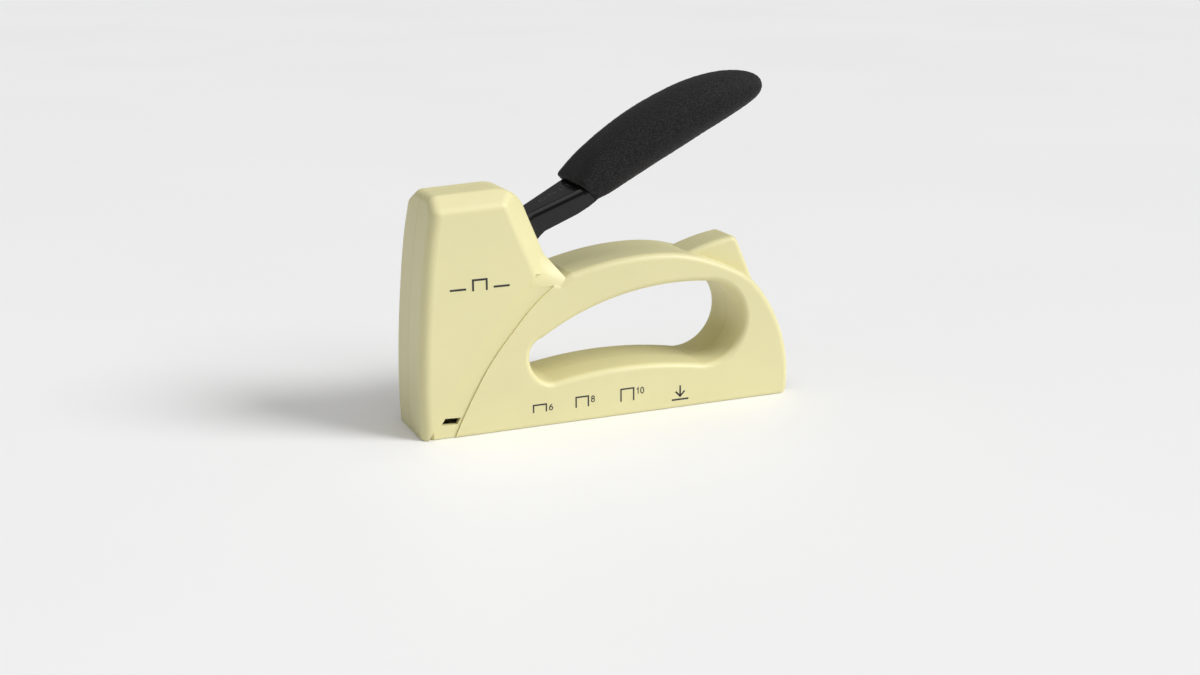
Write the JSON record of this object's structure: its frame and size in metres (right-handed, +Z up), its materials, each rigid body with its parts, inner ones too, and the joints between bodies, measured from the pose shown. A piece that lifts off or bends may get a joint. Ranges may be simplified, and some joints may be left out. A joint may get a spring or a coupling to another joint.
{
  "type": "hand staple gun",
  "caption": "Hand staple gun with a squeeze lever, a spring-driven striker, a rear-drawn staple magazine and a moulded body with a finger hole.",
  "frame": {"origin": "middle of the overall length, on the centre plane, at the flat sole", "axes": "+X from the nose towards the rear, +Z up, +Y towards the side the screws are driven from"},
  "size_m": [0.158, 0.0332, 0.1316],
  "materials": {
    "casing": "moulded ABS, pale yellow, satin",
    "handle_steel": "gloss black enamel on stamped steel",
    "foam_grip": "black closed-cell foam, fine grain",
    "zinc_steel": "zinc-plated sheet steel",
    "hard_steel": "hardened dark steel",
    "spring_steel": "bright spring wire",
    "black_plastic": "moulded black plastic",
    "rubber_pad": "black rubber",
    "screw_steel": "zinc-plated screws"
  },
  "bodies": {
    "housing": {"left_shell": "casing", "right_shell": "casing", "shell_screws": "screw_steel", "nose_plate": "zinc_steel", "striker_guide": "zinc_steel", "spring_cap": "black_plastic", "power_spring": "spring_steel", "plunger_bumper": "rubber_pad", "magazine_channel": "zinc_steel", "lever_pivot_pin": "hard_steel"},
    "lever": {"lever_channel": "handle_steel", "lever_grip": "foam_grip", "lift_claw": "hard_steel", "claw_rivets": "screw_steel", "pivot_bush": "hard_steel", "lever_return_spring": "spring_steel"},
    "striker": {"plunger": "hard_steel", "driver_blade": "hard_steel", "blade_rivets": "screw_steel"},
    "magazine": {"magazine_rail": "zinc_steel", "rail_end_cap": "black_plastic", "guide_rod": "zinc_steel", "follower_spring": "spring_steel", "rail_rivets": "screw_steel", "latch_spring": "spring_steel"},
    "follower": {"follower": "zinc_steel"},
    "latch": {"magazine_latch": "black_plastic"}
  },
  "joints": [
    {"name": "lever_hinge", "type": "hinge", "parent": "housing", "child": "lever", "pos_m": [-0.038, 0, 0.057], "axis": [0, 1, 0], "range_deg": [0, 25.5], "stiffness_Nm_per_rad": 0.6, "springref_deg": -20.05},
    {"name": "striker_slide", "type": "slide", "parent": "housing", "child": "striker", "axis": [0, 0, 1], "range_m": [0, 0.01258], "deforming": ["power_spring"]},
    {"name": "magazine_slide", "type": "slide", "parent": "housing", "child": "magazine", "axis": [1, 0, 0], "range_m": [0, 0.085]},
    {"name": "follower_slide", "type": "slide", "parent": "magazine", "child": "follower", "axis": [1, 0, 0], "range_m": [0, 0.085], "stiffness_N_per_m": 40, "springref_m": -0.03, "deforming": ["follower_spring"]},
    {"name": "latch_press", "type": "slide", "parent": "magazine", "child": "latch", "axis": [0, 0, -1], "range_m": [0, 0.0022], "stiffness_N_per_m": 500, "springref_m": -0.002, "deforming": ["latch_spring"]}
  ],
  "couplings": [
    {"joint": "striker_slide", "follows": "lever_hinge", "m_per_rad": 0.028233}
  ]
}
